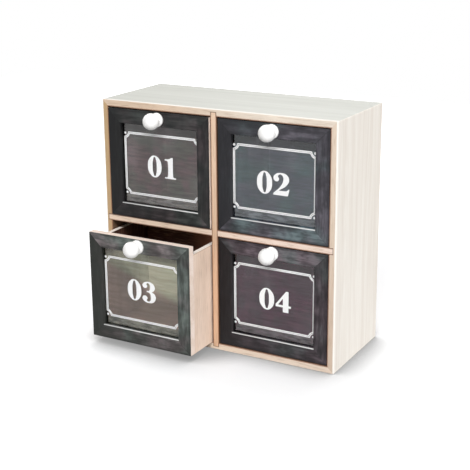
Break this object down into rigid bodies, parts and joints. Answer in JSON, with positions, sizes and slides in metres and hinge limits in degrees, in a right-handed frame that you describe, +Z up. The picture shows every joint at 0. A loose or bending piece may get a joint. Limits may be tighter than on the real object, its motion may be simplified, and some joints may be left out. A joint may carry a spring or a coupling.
{
  "type": "tea bag drawer box",
  "caption": "Small wooden tabletop chest that keeps tea bags in sliding drawers with clear panes, dark frames and round white knobs.",
  "frame": {"origin": "centre of the case's underside: on the middle plane left to right, half way through the case's depth, at the height it stands on", "axes": "+Z up, -Y out of the drawer fronts, +X to the right seen from the front"},
  "size_m": [0.242, 0.1575, 0.23],
  "materials": {
    "case_wood": "pale washed wood, satin",
    "back_board": "thin plain board, matte",
    "drawer_wood": "planed softwood, matte",
    "front_wood": "charcoal paint over wood, matte",
    "pane": "clear, polished",
    "print": "white ink, matte",
    "knob_paint": "white paint on turned wood, satin",
    "steel": "bright zinc plate"
  },
  "bodies": {
    "case": {"case_top": "case_wood", "case_bottom": "case_wood", "case_left": "case_wood", "case_right": "case_wood", "divider": "case_wood", "shelf": "case_wood", "back_panel": "back_board", "back_panel_pins": "steel"},
    "drawer_01": {"drawer_01_rail_top": "front_wood", "drawer_01_rail_bottom": "front_wood", "drawer_01_stile_left": "front_wood", "drawer_01_stile_right": "front_wood", "drawer_01_pane": "pane", "drawer_01_knob": "knob_paint", "drawer_01_knob_screw": "steel", "drawer_01_side_left": "drawer_wood", "drawer_01_side_right": "drawer_wood", "drawer_01_back": "drawer_wood", "drawer_01_bottom": "drawer_wood"},
    "drawer_02": {"drawer_02_rail_top": "front_wood", "drawer_02_rail_bottom": "front_wood", "drawer_02_stile_left": "front_wood", "drawer_02_stile_right": "front_wood", "drawer_02_pane": "pane", "drawer_02_knob": "knob_paint", "drawer_02_knob_screw": "steel", "drawer_02_side_left": "drawer_wood", "drawer_02_side_right": "drawer_wood", "drawer_02_back": "drawer_wood", "drawer_02_bottom": "drawer_wood"},
    "drawer_03": {"drawer_03_rail_top": "front_wood", "drawer_03_rail_bottom": "front_wood", "drawer_03_stile_left": "front_wood", "drawer_03_stile_right": "front_wood", "drawer_03_pane": "pane", "drawer_03_knob": "knob_paint", "drawer_03_knob_screw": "steel", "drawer_03_side_left": "drawer_wood", "drawer_03_side_right": "drawer_wood", "drawer_03_back": "drawer_wood", "drawer_03_bottom": "drawer_wood"},
    "drawer_04": {"drawer_04_rail_top": "front_wood", "drawer_04_rail_bottom": "front_wood", "drawer_04_stile_left": "front_wood", "drawer_04_stile_right": "front_wood", "drawer_04_pane": "pane", "drawer_04_knob": "knob_paint", "drawer_04_knob_screw": "steel", "drawer_04_side_left": "drawer_wood", "drawer_04_side_right": "drawer_wood", "drawer_04_back": "drawer_wood", "drawer_04_bottom": "drawer_wood"}
  },
  "joints": [
    {"name": "drawer_01_slide", "type": "slide", "parent": "case", "child": "drawer_01", "axis": [0, -1, 0], "range_m": [-0.002, 0.068]},
    {"name": "drawer_02_slide", "type": "slide", "parent": "case", "child": "drawer_02", "axis": [0, -1, 0], "range_m": [0, 0.07]},
    {"name": "drawer_03_slide", "type": "slide", "parent": "case", "child": "drawer_03", "axis": [0, -1, 0], "range_m": [-0.04, 0.03]},
    {"name": "drawer_04_slide", "type": "slide", "parent": "case", "child": "drawer_04", "axis": [0, -1, 0], "range_m": [0, 0.07]}
  ]
}
